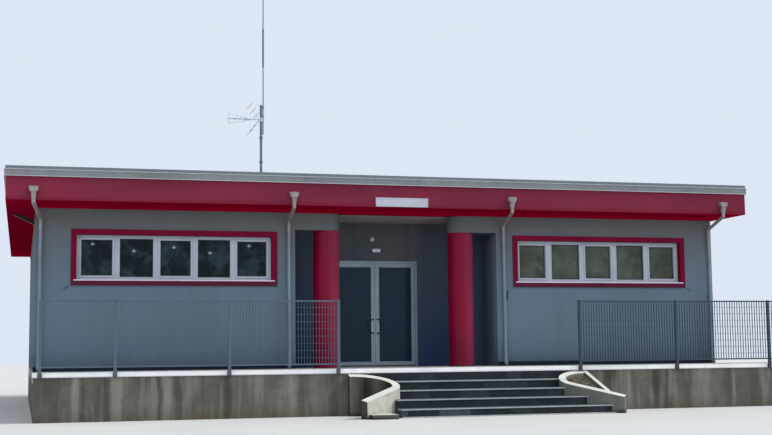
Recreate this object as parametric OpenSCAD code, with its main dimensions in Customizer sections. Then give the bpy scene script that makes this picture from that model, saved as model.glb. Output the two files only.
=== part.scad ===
// Single-storey fire station building on a raised plinth, with a recessed entrance.
// Millimetres. X runs along the front to the right, Y into the building, Z up from the lowest ground.

/* [Building] */
// Length of the front between its two wall corners
body_w = 15700; // [15000:100:17000]
// Depth of the building from the front wall to the back wall
body_d = 14900; // [12000:100:17000]
// Height of the grey walls above the walkway
wall_h = 3400; // [3300:10:3700]
// Thickness of the outer walls
wall_t = 250; // [200:10:300]
// Height of the walkway above the lowest ground
deck_h = 970; // [900:10:1050]
// Thickness of the floor and walkway slab
deck_t = 200; // [150:10:250]
// Height of the pale strip along the slab's front edge
deck_edge_h = 97; // [60:1:140]
// Width of the walkway in front of the building
deck_front = 1500; // [1300:10:1700]
// How far the walkway passes the left wall corner
deck_left = 20; // [0:10:200]
// Thickness of the plinth walls under the slab
plinth_t = 220; // [180:10:300]

/* [Roof] */
// Overhang of the eaves past the walls
eaves = 600; // [450:10:650]
// Height of the red band at the top of the walls
band_h = 100; // [60:5:150]
// How far the red band stands out from the walls
band_out = 15; // [5:5:40]
// Thickness of the roof slab
roof_t = 200; // [150:10:250]
// Height of the red fascia below the metal coping
fascia_h = 485; // [400:5:600]
// Thickness of the fascia and parapet
fascia_t = 150; // [100:10:200]
// Height of the metal coping
coping_h = 212; // [150:2:260]
// How far the coping's lower band stands out from the fascia
coping_out = 30; // [20:5:60]
// Height of the coping's lower band
coping_low = 135; // [100:5:150]
// Size of the lips along the coping's foot and over its lower band
coping_lip = 10; // [6:1:14]

/* [Entrance] */
// Width of the entrance recess
recess_w = 4690; // [4500:10:4800]
// Depth of the entrance recess
recess_d = 1950; // [1800:10:2200]
// Thickness of the recess walls
recess_t = 150; // [120:10:200]
// Radius of the recess's rounded back corners
recess_r = 1100; // [800:10:1200]
// Distance between the centres of the two columns
column_gap = 3150; // [2900:10:3300]
// Diameter of the columns
column_d = 580; // [450:10:620]
// Height of the lintel boxes beside the columns
lintel_h = 370; // [250:10:450]

/* [Door] */
// Width of the door frame
door_w = 2100; // [1900:10:2200]
// Height of the door frame
door_h = 2500; // [2300:10:2700]
// Width of the door frame's members
door_bar = 50; // [40:1:70]
// Width of the door leaves' stiles
stile_w = 88; // [70:1:110]
// Height of the door leaves' bottom rails
rail_h = 95; // [80:1:140]
// Thickness of the door leaves
leaf_t = 45; // [40:1:60]
// Clearance around each door leaf
leaf_gap = 7; // [6:1:12]

/* [Windows] */
// Width of a front window with its red surround
window_w = 4375; // [4200:5:4500]
// Height of a window with its red surround
window_h = 1185; // [1100:5:1300]
// Height of the surround's foot above the walkway
window_z = 1790; // [1600:10:1900]
// How far a front window's middle lies nearer to the entrance than the middle of its wall
window_shift = 165; // [50:5:250]
// Width of the red surround
surround_w = 115; // [80:5:140]
// How far the surround stands out from the wall
surround_out = 25; // [10:5:50]
// Depth of the window frames behind the wall's face
window_in = 120; // [80:5:150]
// Width of the white window frame's outer members
frame_w = 65; // [50:1:80]
// Width of the window frame's upright bars between its panes
mullion_w = 115; // [90:5:130]
// Width of the opening sashes' members inside the frame
sash_w = 35; // [25:1:45]
// Depth of the window frames
frame_depth = 60; // [40:2:80]
// How far the pale sill plates stand out from the surrounds
sill_out = 15; // [8:1:30]

/* [Stairs] */
// Number of the flight's risers
risers = 5; // [5:1:6]
// Height of the riser below the walkway
top_rise = 262; // [200:2:300]
// Depth of one tread
tread_d = 340; // [300:5:380]
// Thickness of a tread's pale slab
tread_t = 26; // [20:2:50]
// Thickness of the dark facing on the riser below the walkway
facing_t = 15; // [10:1:18]
// Distance from the middle of the front to the middle of the flight
stair_x = 1180; // [1000:5:1300]
// Width of the flight between the wing walls' noses
stair_w = 3600; // [3300:10:3700]
// Length along the front of the left wing wall's curved back part
wing_a_left = 950; // [800:10:1050]
// Length along the front of the right wing wall's curved back part
wing_a_right = 770; // [700:10:900]
// Distance from the plinth to the left wing wall's nose
wing_back_left = 640; // [550:5:750]
// Distance from the plinth to the right wing wall's nose
wing_back_right = 550; // [480:5:650]
// Radius of the wing walls' rounded noses
nose_r = 300; // [250:10:350]
// Angle between the wing walls' straight arms and the front
arm_angle = 40; // [35:1:45]
// Length of the left wing wall's straight arm
arm_left = 1060; // [900:10:1200]
// Length of the right wing wall's straight arm
arm_right = 1170; // [1050:10:1300]
// Thickness of the wing walls
wing_t = 150; // [110:5:180]
// Thickness of the thin wall that closes the planter on the right
planter_t = 90; // [70:5:120]
// How far a wing wall's top lies below the walkway where it meets the plinth
wing_drop = 110; // [100:10:180]
// Height of the wing walls at their front ends
wing_low = 330; // [250:10:450]
// Height of the low pad before the left wing wall
pad_h = 90; // [60:5:120]

/* [Fence] */
// Height of the fence above the walkway
fence_h = 1420; // [1200:10:1600]
// Length of the bays left of the stairs
bay_left = 2270; // [2200:5:2300]
// Length of the bays right of the stairs
bay_right = 2340; // [2300:5:2400]
// Number of bays right of the stairs
bays_right = 3; // [2:1:4]
// Distance from the middle of the front to the fence left of the stairs
fence_left_x = 1750; // [1600:10:1900]
// Distance from the middle of the front to the fence right of the stairs
fence_right_x = 3685; // [3600:5:3900]
// Size of the square posts
post_w = 60; // [40:2:80]
// Spacing of the upright bars
bar_pitch = 62; // [60:1:90]
// Thickness of an upright bar
bar_t = 6; // [5:1:10]
// Depth of an upright bar
bar_d = 25; // [20:1:40]

/* [Drainage] */
// Diameter of the downpipes
pipe_d = 80; // [60:2:100]
// Distance from a wall corner to the outer downpipes
pipe_side = 110; // [90:5:160]
// Distance from the sides of the recess to the inner downpipes
pipe_inner = 155; // [120:5:200]
// Width of a rainwater hopper at its top
hopper_w = 190; // [150:5:240]
// Height of a rainwater hopper
hopper_h = 210; // [160:5:260]
// How far the left corner's hopper stands outside its downpipe
hopper_out_left = 160; // [100:5:200]
// How far the right corner's hopper stands outside its downpipe
hopper_out_right = 85; // [50:5:150]

/* [Mast] */
// Distance from the left wall corner to the mast
mast_x = 5200; // [4500:10:6000]
// Distance from the front wall to the mast
mast_y = 2500; // [1500:10:4000]
// Height of the mast pole above the roof slab
pole_h = 2560; // [2200:10:3000]
// Length of the whip antenna
whip_l = 4200; // [3500:10:4500]
// Length of the yagi antenna's boom
boom_l = 840; // [700:10:1000]
// Length of the yagi antenna's cross rods
cross_l = 800; // [500:10:1000]

/* [Hidden] */
$fn = 32;
left = -body_w / 2;
right = body_w / 2;
deck_right = fence_right_x + bays_right * bay_right + post_w;
deck_x = left - deck_left;
soffit_z = deck_h + wall_h + band_h;
wall_top = deck_h + wall_h;
roof_z = soffit_z + roof_t;
recess_side = recess_w / 2;
edge_lip = 20;
tread_n = risers - 1;
rise = (deck_h - top_rise) / tread_n;
wing_high = deck_h - wing_drop;
plinth_y = edge_lip - deck_front;
nose_end = [nose_r * (1 - sin(arm_angle)), -nose_r * cos(arm_angle)];
arm_way = [cos(arm_angle), -sin(arm_angle)];
flight_side = 160;
oval_over = 6;
step_gap = 0.3;
column_y = column_d / 2 + 10;
door_y = recess_d + 30;
frame_d = 70;
leaf_y = door_y;
leaf_w = (door_w - 2 * door_bar - 3 * leaf_gap) / 2;
leaf_z = deck_h + leaf_gap + 3;
leaf_h = door_h - door_bar - 2 * leaf_gap;
hinge_x = door_w / 2 - door_bar - leaf_gap;
knuckle_d = 22;
knuckle_h = 50;
pin_d = 10;
strap_w = 30;
axis_x = hinge_x + leaf_gap / 2;
axis_y = leaf_y - knuckle_d / 2;
post_y = -deck_front - post_w / 2;
post_foot = deck_h - deck_edge_h;
glass_t = 8;
pipe_y = -pipe_d / 2 - 40;
hopper_y = -eaves - hopper_w * 0.31;
edge_t = 30;
footing_out = 100;
boom_t = 24;
skirt_h = 100;
skirt_t = 15;
coping_set = 15;
sill_t = 24;
bracket_d = 40;
lamp_x = -70;
lamp_z = deck_h + 3010;
lamp_d = 85;
exit_x = 20;
exit_z = deck_h + 2745;
exit_w = 190;
exit_h = 80;
exit_out = 55;
fitting_y = 2300;
fitting_drop = 150;
fitting_w = 90;
whip_d = 26;
whip_low = 720;
sleeve_d = 44;
sleeve_z = 1650;
sleeve_l = 940;
mast_d = 60;

// Name of the piece to draw, or all of them

// A box from its low corner and its sizes
module box(low, size) {
    translate(low) cube(size);
}

// A copy on each side of the middle plane
module both_sides() {
    children();
    mirror([1, 0, 0]) children();
}

// A cylinder between two points
module rod(a, b, d) {
    v = b - a;
    l = norm(v);
    translate(a) rotate([0, acos(v[2] / l), atan2(v[1], v[0])]) cylinder(d = d, h = l);
}

// A window laid out from the middle of its wall, looking at the wall from outside
module window_places_front() {
    for (s = [-1, 1]) translate([s * ((body_w + recess_w) / 4 - window_shift), 0, 0]) children();
}

module window_places_back() {
    translate([0, body_d, 0]) rotate([0, 0, 180]) window_places_front() children();
}

// Opening of one window, cut right through a wall
module window_hole() {
    w = window_w - 2 * surround_w;
    h = window_h - 2 * surround_w;
    box([-w / 2, -wall_t, deck_h + window_z + surround_w], [w, 3 * wall_t, h]);
}

module surround() {
    z = deck_h + window_z;
    difference() {
        box([-window_w / 2, -surround_out, z], [window_w, surround_out, window_h]);
        window_hole();
    }
}

// White frame with three opening sashes between two fixed panes
module window_frame() {
    w = window_w - 2 * surround_w;
    h = window_h - 2 * surround_w;
    z = deck_h + window_z + surround_w;
    pane = (w - 2 * frame_w - 4 * mullion_w) / 5;
    difference() {
        box([-w / 2, window_in, z], [w, frame_depth, h]);
        for (i = [0:4]) {
            extra = i % 2 == 0 ? sash_w : 0;
            box([-w / 2 + frame_w + i * (pane + mullion_w) + extra, window_in - 1, z + frame_w + extra],
                [pane - 2 * extra, frame_depth + 2, h - 2 * frame_w - 2 * extra]);
        }
    }
}

// One sheet of glass behind the bars of one window
module window_sheet() {
    w = window_w - 2 * surround_w;
    h = window_h - 2 * surround_w;
    z = deck_h + window_z + surround_w;
    box([-w / 2, window_in + frame_depth, z], [w, glass_t, h]);
}

// Thin pale plate on the opening's floor, with a lip that runs across the surround
module window_sill() {
    w = window_w - 2 * surround_w;
    z = deck_h + window_z + surround_w;
    box([-w / 2, -surround_out, z], [w, surround_out + window_in, sill_t / 3]);
    box([-(w + surround_w) / 2, -surround_out - sill_out, z - sill_t * 2 / 3],
        [w + surround_w, sill_out, sill_t]);
}

// A ring around the building, from an outer offset inwards
module ring(out, thick, z, h) {
    difference() {
        box([left - out, -out, z], [body_w + 2 * out, body_d + 2 * out, h]);
        box([left - out + thick, thick - out, z - 1],
            [body_w + 2 * (out - thick), body_d + 2 * (out - thick), h + 2]);
    }
}

module floor_slab() {
    color([0.55, 0.54, 0.5]) box([left, 0, deck_h - deck_t], [body_w, body_d, deck_t]);
}

module walkway_slab() {
    color([0.55, 0.54, 0.5])
        box([deck_x, edge_t - deck_front, deck_h - deck_t],
            [deck_right - deck_x, deck_front - edge_t, deck_t]);
}

module deck_edge() {
    color([0.85, 0.85, 0.82])
        box([deck_x, -deck_front, deck_h - deck_edge_h], [deck_right - deck_x, edge_t, deck_edge_h]);
}

module plinth_front() {
    color([0.5, 0.48, 0.44])
        difference() {
            box([deck_x + edge_lip, plinth_y, 0],
                [deck_right - deck_x - 2 * edge_lip, plinth_t, deck_h - deck_edge_h]);
            box([deck_x, edge_t - deck_front, deck_h - deck_t],
                [deck_right - deck_x, deck_front, deck_t]);
        }
}

module plinth_sides() {
    h = deck_h - deck_t;
    front = plinth_y + plinth_t;
    color([0.5, 0.48, 0.44]) {
        box([left, front, 0], [plinth_t, body_d - front, h]);
        box([right - plinth_t, front, 0], [plinth_t, body_d - front, h]);
    }
}

// Walls under the walkway's free end
module walkway_end() {
    h = deck_h - deck_t;
    front = plinth_y + plinth_t;
    end = deck_right - edge_lip;
    color([0.5, 0.48, 0.44]) {
        box([end - plinth_t, front, 0], [plinth_t, -front, h]);
        box([right, -plinth_t, 0], [end - right, plinth_t, h]);
    }
}

module plinth_back() {
    color([0.5, 0.48, 0.44])
        box([left + plinth_t, body_d - plinth_t, 0], [body_w - 2 * plinth_t, plinth_t, deck_h - deck_t]);
}

module front_footing() {
    color([0.5, 0.48, 0.44])
        box([left + plinth_t, -footing_out, 0],
            [body_w - 2 * plinth_t, wall_t + 2 * footing_out, deck_h - deck_t]);
}

module front_wall(s) {
    wing = (body_w - recess_w) / 2;
    difference() {
        translate([s > 0 ? recess_side : left, 0, deck_h]) cube([wing, wall_t, wall_h]);
        window_places_front() window_hole();
    }
}

module front_wall_left() {
    color([0.35, 0.38, 0.42]) front_wall(-1);
}

module front_wall_right() {
    color([0.35, 0.38, 0.42]) front_wall(1);
}

module side_wall(s) {
    translate([s > 0 ? right - wall_t : left, wall_t, deck_h])
        cube([wall_t, body_d - 2 * wall_t, wall_h]);
}

module left_wall() {
    color([0.35, 0.38, 0.42]) side_wall(-1);
}

module right_wall() {
    color([0.35, 0.38, 0.42]) side_wall(1);
}

module back_wall() {
    color([0.35, 0.38, 0.42]) difference() {
        box([left, body_d - wall_t, deck_h], [body_w, wall_t, wall_h]);
        window_places_back() window_hole();
    }
}

// Return wall of the recess with its rounded back corner
module recess_wall() {
    cx = recess_side - recess_r;
    cy = recess_d - recess_r;
    box([recess_side, wall_t, deck_h], [recess_t, cy - wall_t, wall_h]);
    translate([cx, cy, deck_h])
        rotate_extrude(angle = 90, $fn = 96) translate([recess_r, 0]) square([recess_t, wall_h]);
}

module recess_wall_left() {
    color([0.2, 0.22, 0.26]) mirror([1, 0, 0]) recess_wall();
}

module recess_wall_right() {
    color([0.2, 0.22, 0.26]) recess_wall();
}

module entrance_wall() {
    inner = door_w / 2;
    box([inner, recess_d, deck_h], [recess_side - recess_r - inner, recess_t, wall_h]);
}

module entrance_wall_left() {
    color([0.2, 0.22, 0.26]) mirror([1, 0, 0]) entrance_wall();
}

module entrance_wall_right() {
    color([0.2, 0.22, 0.26]) entrance_wall();
}

module entrance_wall_over() {
    color([0.2, 0.22, 0.26])
        box([-door_w / 2, recess_d, deck_h + door_h], [door_w, recess_t, wall_h - door_h]);
}

module recess_ceiling() {
    color([0.4, 0.4, 0.4])
        box([-recess_side - recess_t, wall_t, wall_top],
            [recess_w + 2 * recess_t, recess_d + recess_t - wall_t, band_h]);
}

module columns() {
    color([0.5, 0.08, 0.16]) for (s = [-1, 1])
        translate([s * column_gap / 2, column_y, deck_h])
            cylinder(d = column_d, h = wall_h - lintel_h, $fn = 64);
}

// Lintels over the columns, each with a rounded end above its column
module lintels() {
    depth = column_y + column_d / 2;
    color([0.35, 0.38, 0.42]) both_sides() {
        box([column_gap / 2, 0, wall_top - lintel_h], [recess_side - column_gap / 2, depth, lintel_h]);
        translate([column_gap / 2, depth / 2, wall_top - lintel_h])
            cylinder(d = depth, h = lintel_h, $fn = 64);
    }
}

module top_band() {
    color([0.3, 0.02, 0.07]) ring(band_out, wall_t + band_out, wall_top, band_h);
}

module roof_slab() {
    inner = eaves - fascia_t;
    color([0.45, 0.1, 0.16])
        box([left - inner, -inner, soffit_z], [body_w + 2 * inner, body_d + 2 * inner, roof_t]);
}

module fascia() {
    color([0.46, 0.15, 0.22]) ring(eaves, fascia_t, soffit_z, fascia_h);
}

// Metal coping: a lower band between two lips, and an upper band that is set back
module coping() {
    foot = soffit_z + fascia_h;
    inner = fascia_t + coping_out;
    high = coping_low + coping_lip;
    color([0.6, 0.62, 0.64]) {
        ring(eaves + coping_out, inner + coping_out, foot, coping_low);
        ring(eaves + coping_out + coping_lip, inner + coping_out + coping_lip, foot, coping_lip);
        ring(eaves + coping_out + coping_lip, inner + coping_out + coping_lip, foot + coping_low, coping_lip);
        ring(eaves + coping_set, inner + coping_set, foot + high, coping_h - high);
    }
}

module window_surrounds() {
    color([0.4, 0.08, 0.16]) {
        window_places_front() surround();
        window_places_back() surround();
    }
}

module window_frames() {
    color([0.9, 0.9, 0.9]) {
        window_places_front() window_frame();
        window_places_back() window_frame();
    }
}

module window_sills() {
    color([0.85, 0.8, 0.84]) {
        window_places_front() window_sill();
        window_places_back() window_sill();
    }
}

module window_glass() {
    color([0.3, 0.34, 0.32]) {
        window_places_front() window_sheet();
        window_places_back() window_sheet();
    }
}

module door_frame() {
    color([0.6, 0.62, 0.66]) difference() {
        box([-door_w / 2, door_y, deck_h], [door_w, frame_d, door_h]);
        box([door_bar - door_w / 2, door_y - 1, deck_h - 1],
            [door_w - 2 * door_bar, frame_d + 2, door_h - door_bar + 1]);
    }
}

// Opening of one leaf for its glass
module leaf_hole(grow) {
    box([hinge_x - leaf_w + stile_w - grow, leaf_y - 1, leaf_z + rail_h - grow],
        [leaf_w - 2 * stile_w + 2 * grow, leaf_t + 2, leaf_h - rail_h - stile_w + 2 * grow]);
}

module door_leaf() {
    difference() {
        box([hinge_x - leaf_w, leaf_y, leaf_z], [leaf_w, leaf_t, leaf_h]);
        leaf_hole(0);
    }
    for (z = hinge_places()) translate([axis_x, axis_y, z + knuckle_h + 2]) difference() {
        union() {
            cylinder(d = knuckle_d, h = knuckle_h, $fn = 24);
            translate([-strap_w, 0, 0]) cube([strap_w, knuckle_d / 2, knuckle_h]);
        }
        translate([0, 0, -1]) cylinder(d = pin_d + 0.2, h = knuckle_h + 2, $fn = 24);
    }
}

// Frame's half of the hinges of one leaf, with their pins
module hinge_side() {
    for (z = hinge_places()) translate([axis_x, axis_y, z]) {
        cylinder(d = knuckle_d, h = knuckle_h, $fn = 24);
        cylinder(d = pin_d, h = 2 * knuckle_h + 6, $fn = 24);
        cube([strap_w, knuckle_d / 2, knuckle_h]);
    }
}

module door_hinges() {
    color([0.5, 0.5, 0.52]) both_sides() hinge_side();
}

module door_glass() {
    box([hinge_x - leaf_w + stile_w, leaf_y + leaf_t / 2 - 5, leaf_z + rail_h],
        [leaf_w - 2 * stile_w, 10, leaf_h - rail_h - stile_w]);
}

// Bow handle standing off the leaf, with two fixing stubs
module door_handle() {
    bow_r = 165;
    off = 45;
    tube = 25;
    x = hinge_x - leaf_w + stile_w / 2;
    translate([x, leaf_y - off, deck_h + 950]) {
        scale([0.7, 1, 1]) rotate([90, 0, 0]) rotate([0, 0, -90])
            rotate_extrude(angle = 180, $fn = 48) translate([bow_r, 0]) circle(d = tube, $fn = 16);
        for (s = [-1, 1]) translate([0, 0, s * bow_r]) rotate([-90, 0, 0])
            cylinder(d = tube, h = off, $fn = 16);
    }
}

module door_leaf_left() {
    color([0.6, 0.62, 0.66]) mirror([1, 0, 0]) door_leaf();
}

module door_leaf_right() {
    color([0.6, 0.62, 0.66]) door_leaf();
}

module door_glass_left() {
    color([0.12, 0.17, 0.22]) mirror([1, 0, 0]) door_glass();
}

module door_glass_right() {
    color([0.12, 0.17, 0.22]) door_glass();
}

module door_handle_left() {
    color([0.1, 0.12, 0.16]) mirror([1, 0, 0]) door_handle();
}

module door_handle_right() {
    color([0.1, 0.12, 0.16]) door_handle();
}

// Rounded end of a wing wall, from its nose down to the start of its straight arm
module nose_sector(r) {
    intersection() {
        translate([nose_r, 0]) circle(r = r, $fn = 144);
        polygon([[nose_r, 0], [-nose_r, 0], [-nose_r, -2 * nose_r],
            [nose_r - 2 * nose_r * sin(arm_angle), -2 * nose_r * cos(arm_angle)]]);
    }
}

// Back half of the oval that a wing wall follows, laid out from the wall's nose
module wing_oval(a, back) {
    intersection() {
        translate([a, 0]) scale([a / 1000, (back + oval_over) / 1000]) circle(r = 1000, $fn = 144);
        translate([-a, 0]) square([4 * a, 2 * back]);
    }
}

// Outline of a wing wall: the curved back, the rounded nose and the straight arm
module wing_plan(a, back, arm) {
    intersection() {
        difference() {
            wing_oval(a, back);
            translate([a, 0]) scale([(a - wing_t) / 1000, (back + oval_over - wing_t) / 1000])
                circle(r = 1000, $fn = 144);
        }
        translate([-a, -back]) square([1.97 * a, 3 * back]);
    }
    difference() {
        nose_sector(nose_r);
        translate([nose_r, 0]) circle(r = nose_r - wing_t, $fn = 144);
    }
    translate(nose_end) rotate([0, 0, -arm_angle]) square([arm, wing_t]);
}

// Points around the ground behind a wing wall, which cuts the ends of the steps
function wing_ground(a, back, side) = let (
    arm_foot = nose_end - step_gap * [sin(arm_angle), cos(arm_angle)])
    concat(
        [for (t = [100:2.5:180]) [a + (a + step_gap) * cos(t), (back + oval_over + step_gap) * sin(t)]],
        [for (t = [182.5:2.5:267.5 - arm_angle]) (nose_r + step_gap) * [cos(t), sin(t)] + [nose_r, 0]],
        [arm_foot, arm_foot + (side - arm_foot[0]) / cos(arm_angle) * arm_way],
        [[side, -4 * back], [3 * a, -4 * back], [3 * a, 2 * back], [0.9 * a, 2 * back]]);

// Front end of a wing wall's arm, seen from its nose
function arm_end(arm) = nose_end[1] - arm * sin(arm_angle);

// Block whose top falls towards the street, to trim a wing wall
module wing_fall(a, back, arm) {
    end = plinth_y - back + arm_end(arm) - 10;
    translate([-a, 0, 0]) rotate([90, 0, 90]) linear_extrude(4 * a)
        polygon([[end, 0], [plinth_y, 0], [plinth_y, wing_high], [end, wing_low]]);
}

module wing_wall(a, back, arm) {
    intersection() {
        translate([0, plinth_y - back, 0]) linear_extrude(wing_high) wing_plan(a, back, arm);
        wing_fall(a, back, arm);
    }
}

// The left wing wall stands open, with a low pad before its arm
module wing_wall_left() {
    end = plinth_y - wing_back_left + arm_end(arm_left);
    color([0.75, 0.75, 0.72]) translate([stair_x - stair_w / 2, 0, 0]) mirror([1, 0, 0]) {
        wing_wall(wing_a_left, wing_back_left, arm_left);
        box([2 * flight_side, end - wing_t, 0], [arm_left / 2, 4 * wing_t, pad_h]);
    }
}

// The right wing wall is closed to a planter by a thin wall on its far side
module wing_wall_right() {
    low = plinth_y - wing_back_right + nose_end[1] - (wing_a_right - nose_end[0]) * tan(arm_angle);
    foot = low + wing_t / 4;
    color([0.75, 0.75, 0.72]) translate([stair_x + stair_w / 2, 0, 0]) {
        wing_wall(wing_a_right, wing_back_right, arm_right);
        intersection() {
            box([wing_a_right, foot, 0], [planter_t, plinth_y - foot, wing_high]);
            wing_fall(wing_a_right, wing_back_right, arm_right);
        }
    }
}

// Both wing walls' ground, to trim the flight; its left end is straight below the nose
module wing_cuts() {
    translate([stair_x - stair_w / 2, plinth_y - wing_back_left, -1]) mirror([1, 0, 0])
        linear_extrude(deck_h + 2) polygon(wing_ground(wing_a_left, wing_back_left, flight_side));
    translate([stair_x + stair_w / 2, plinth_y - wing_back_right, -1])
        linear_extrude(deck_h + 2) polygon(wing_ground(wing_a_right, wing_back_right, 2 * wing_a_right));
}

// Block across the flight, from behind the left wing wall to behind the right one
module across(y, depth, z, h) {
    start = stair_x - stair_w / 2 - 0.8 * wing_a_left;
    end = stair_x + stair_w / 2 + 1.2 * wing_a_right;
    box([start, y, z], [end - start, depth, h]);
}

// Dark stepped body of the flight, with a facing on the plinth above its highest tread
module stair_base() {
    start = stair_x - stair_w / 2 - wing_a_left / 2;
    end = stair_x + stair_w / 2 + wing_a_right / 2;
    color([0.3, 0.32, 0.36]) {
        difference() {
            for (i = [1:tread_n]) {
                y = plinth_y - i * tread_d;
                across(y, plinth_y - y, 0, deck_h - top_rise - (i - 1) * rise - tread_t);
            }
            wing_cuts();
        }
        box([start, plinth_y - facing_t, rise], [end - start, facing_t, deck_h - deck_edge_h - rise]);
    }
}

// Pale slabs on the flight, with a small nosing over each riser, and a pale strip at its foot
module stair_treads() {
    color([0.6, 0.62, 0.64]) difference() {
        union() {
            for (i = [1:tread_n])
                across(-deck_front - i * tread_d, tread_d + edge_lip - facing_t,
                    deck_h - top_rise - (i - 1) * rise - tread_t, tread_t);
            across(plinth_y - tread_n * tread_d - 3 * edge_lip, 3 * edge_lip, 0, tread_t);
        }
        wing_cuts();
    }
}

function hinge_places() = [for (k = [0.08, 0.48, 0.88]) deck_h + k * door_h];
function left_posts() = [-fence_left_x, -fence_left_x - bay_left, -fence_left_x - 2 * bay_left,
    left + 120];
function right_posts() = [for (i = [0:bays_right]) fence_right_x + i * bay_right];

module fence_posts() {
    color([0.35, 0.4, 0.45]) for (x = concat(left_posts(), right_posts()))
        box([x - post_w / 2, post_y - post_w / 2, post_foot], [post_w, post_w, deck_h + fence_h - post_foot]);
}

// Grating panel with upright bars between a top and a bottom rail
module fence_panel(x1, x2) {
    rail = 30;
    foot = deck_h + 90;
    length = x2 - x1 - post_w;
    bars = floor(length / bar_pitch);
    pitch = length / bars;
    start = x1 + post_w / 2;
    box([start, post_y - rail / 2, foot], [length, rail, rail]);
    box([start, post_y - rail / 2, deck_h + fence_h - rail], [length, rail, rail]);
    for (i = [1:bars - 1])
        box([start + i * pitch - bar_t / 2, post_y - bar_d / 2, foot + rail - 1],
            [bar_t, bar_d, deck_h + fence_h - foot - 2 * rail + 2]);
}

module fence_panels_left() {
    p = left_posts();
    color([0.35, 0.4, 0.45]) for (i = [0:2]) fence_panel(p[i + 1], p[i]);
}

module fence_panels_right() {
    p = right_posts();
    color([0.35, 0.4, 0.45]) for (i = [0:bays_right - 1]) fence_panel(p[i], p[i + 1]);
}

// Each downpipe's place, and how far to the side its hopper stands
function pipe_places() = [[left + pipe_side, -hopper_out_left], [-recess_side - pipe_inner, 0],
    [recess_side + pipe_inner, 0], [right - pipe_side, hopper_out_right]];

// Downpipe from the hopper, back under the eaves and down the wall
module downpipe(side) {
    top = soffit_z + 60;
    knee = soffit_z - 60;
    low = soffit_z - 330;
    rod([side, hopper_y, knee], [side, hopper_y, top], pipe_d);
    rod([0, pipe_y, low], [side, hopper_y, knee], pipe_d);
    rod([0, pipe_y, deck_h + 60], [0, pipe_y, low], pipe_d);
    translate([side, hopper_y, knee]) sphere(d = pipe_d * 1.02, $fn = 24);
    translate([0, pipe_y, low]) sphere(d = pipe_d * 1.02, $fn = 24);
    rod([0, -60 - pipe_d, deck_h + 40], [0, pipe_y, deck_h + 90], pipe_d);
    for (z = [0.12, 0.5, 0.88])
        box([-20, pipe_y, deck_h + z * (low - deck_h)], [40, -pipe_y, 30]);
}

module downpipes() {
    color([0.5, 0.55, 0.6]) for (p = pipe_places()) translate([p[0], 0, 0]) downpipe(p[1]);
}

// Flared rainwater hopper fixed to the fascia
module rain_hopper() {
    translate([0, hopper_y, soffit_z + 60]) {
        rotate([0, 0, 45]) cylinder(d1 = pipe_d * 1.5, d2 = hopper_w * 0.86, h = hopper_h * 0.75, $fn = 4);
        translate([-hopper_w / 2, -hopper_w * 0.31, hopper_h * 0.75])
            cube([hopper_w, hopper_w * 0.62, hopper_h * 0.25]);
    }
}

module rain_hoppers() {
    color([0.6, 0.65, 0.7]) for (p = pipe_places()) translate([p[0] + p[1], 0, 0]) rain_hopper();
}

module skirting() {
    wing = (body_w - recess_w) / 2;
    color([0.12, 0.13, 0.16]) both_sides()
        box([recess_side, -skirt_t, deck_h], [wing, skirt_t, skirt_h]);
}

// Small lamp and an emergency light over the door
module entrance_lights() {
    color([0.9, 0.9, 0.88]) {
        translate([lamp_x, recess_d, lamp_z]) rotate([90, 0, 0])
            cylinder(d1 = lamp_d, d2 = lamp_d * 0.65, h = lamp_d * 0.8);
        box([exit_x - exit_w / 2, recess_d - exit_out, exit_z - exit_h / 2], [exit_w, exit_out, exit_h]);
    }
}

// Dark bar under the left eaves, falling from the soffit to the wall
module side_light() {
    outer = eaves - fascia_t;
    color([0.05, 0.05, 0.06]) translate([left, fitting_y, soffit_z]) rotate([90, 0, 0])
        linear_extrude(fitting_w) polygon([[-outer, 0], [-outer + fitting_w, 0],
            [0, -fitting_drop], [0, -fitting_drop - fitting_w], [-outer, -fitting_w / 3]]);
}

module mast_pole() {
    color([0.4, 0.42, 0.44]) translate([left + mast_x, mast_y, roof_z]) {
        cylinder(d = 3 * mast_d, h = 20);
        cylinder(d = mast_d, h = pole_h);
        for (z = [0.45, 0.68]) translate([0, 0, z * pole_h]) cylinder(d = mast_d + 20, h = mast_d);
    }
}

// Whip clamped beside the mast's top, with a thicker sleeve part way up
module whip_antenna() {
    gap = (bracket_d - whip_d) / 2;
    x = left + mast_x + mast_d / 2 + gap + whip_d / 2;
    color([0.8, 0.82, 0.84]) translate([x, mast_y, roof_z + pole_h - whip_low]) {
        cylinder(d = whip_d, h = whip_l, $fn = 16);
        translate([0, 0, sleeve_z]) cylinder(d = sleeve_d, h = sleeve_l, $fn = 16);
        for (drop = [60, 290]) translate([-gap - whip_d / 2, -bracket_d / 2, whip_low - drop])
            cube([bracket_d + gap, bracket_d, bracket_d / 2]);
    }
}

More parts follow.
